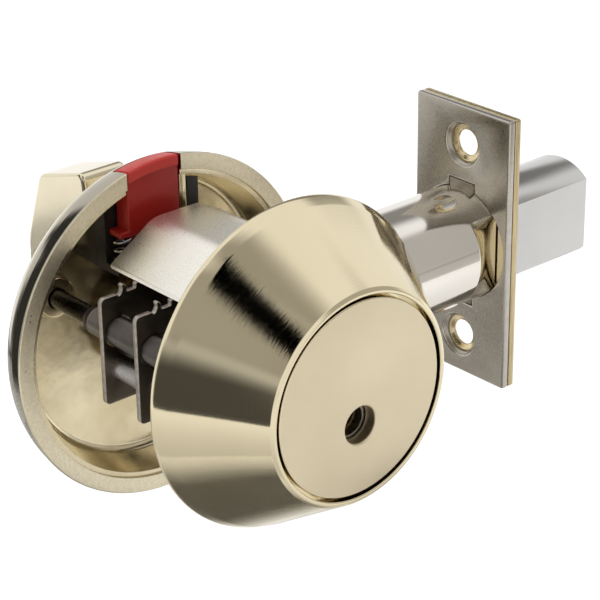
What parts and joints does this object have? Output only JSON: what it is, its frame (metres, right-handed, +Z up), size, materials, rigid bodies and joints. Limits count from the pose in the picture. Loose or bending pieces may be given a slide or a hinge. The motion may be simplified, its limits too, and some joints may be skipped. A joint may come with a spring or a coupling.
{
  "type": "deadbolt door lock",
  "caption": "Tubular deadbolt door lock: key cylinder in a conical brass collar, thrown bolt behind a faceplate, crank case with guard hood, and a cast rose with thumbturn and red button.",
  "frame": {"origin": "where the bolt's axis crosses the collar's axis, halfway through the door", "axes": "+X the way the bolt is thrown, +Y into the room, +Z up"},
  "size_m": [0.1243, 0.092, 0.0707],
  "materials": {
    "satin_brass": "satin, turned",
    "face_brass": "fine brushed",
    "cast_brass": "cast, polished on the rim",
    "plate_brass": "polished sheet",
    "nickel": "bright nickel plate",
    "bolt_steel": "satin plated",
    "case_steel": "plain rolled sheet",
    "works_steel": "turned and stamped",
    "hood_zinc": "spangled zinc plate",
    "housing_zinc": "die cast, tumbled",
    "disc_brass": "stamped",
    "spring_steel": "drawn wire",
    "red_plastic": "moulded",
    "black_plastic": "moulded"
  },
  "bodies": {
    "lock_body": {"face_disc": "face_brass", "collar_washer": "disc_brass", "cylinder_housing": "housing_zinc", "mounting_posts": "works_steel", "mounting_screws": "works_steel", "bolt_tube": "nickel", "face_backplate": "nickel", "faceplate": "plate_brass", "case_plate_near": "case_steel", "case_plate_far": "case_steel", "case_spacers": "works_steel", "guard_hood": "hood_zinc", "inner_rose": "cast_brass", "spindle_bush": "disc_brass", "thrust_washer": "disc_brass", "button_guide": "black_plastic", "button_spring": "spring_steel"},
    "turn_drive": {"thumbturn": "cast_brass", "turn_spindle": "works_steel", "turn_grub_screw": "works_steel", "tailpiece": "works_steel", "crank_hub": "works_steel", "crank_arm": "works_steel", "crank_pin": "works_steel"},
    "bolt_slide": {"bolt": "bolt_steel", "bolt_roller": "works_steel", "bolt_tail": "works_steel", "tail_rivets": "works_steel"},
    "barrel": {"disc_barrel": "disc_brass", "keyway_disc": "works_steel", "detainer_discs": "disc_brass", "disc_spacers": "works_steel", "sidebar": "works_steel", "barrel_clip": "spring_steel"},
    "collar": {"cylinder_collar": "satin_brass"},
    "button": {"lock_button": "red_plastic"}
  },
  "joints": [
    {"name": "turn", "type": "hinge", "parent": "lock_body", "child": "turn_drive", "pos_m": [0, 0, -0.0052], "axis": [0, -1, 0], "range_deg": [0, 90]},
    {"name": "bolt_throw", "type": "slide", "parent": "lock_body", "child": "bolt_slide", "axis": [1, 0, 0], "range_m": [-0.0254, 0]},
    {"name": "barrel_turn", "type": "hinge", "parent": "lock_body", "child": "barrel", "pos_m": [0, 0, -0.0052], "axis": [0, -1, 0], "range_deg": [0, 90]},
    {"name": "collar_spin", "type": "hinge", "parent": "lock_body", "child": "collar", "pos_m": [0, 0, 0], "axis": [0, -1, 0], "continuous": true},
    {"name": "button_press", "type": "slide", "parent": "lock_body", "child": "button", "axis": [0, 0, -1], "range_m": [0, 0.0022], "stiffness_N_per_m": 300, "springref_m": -0.003, "deforming": ["button_spring"]}
  ],
  "couplings": [
    {"joint": "bolt_throw", "follows": "turn", "m_per_rad": -0.01617},
    {"joint": "barrel_turn", "follows": "turn", "ratio": 1}
  ]
}
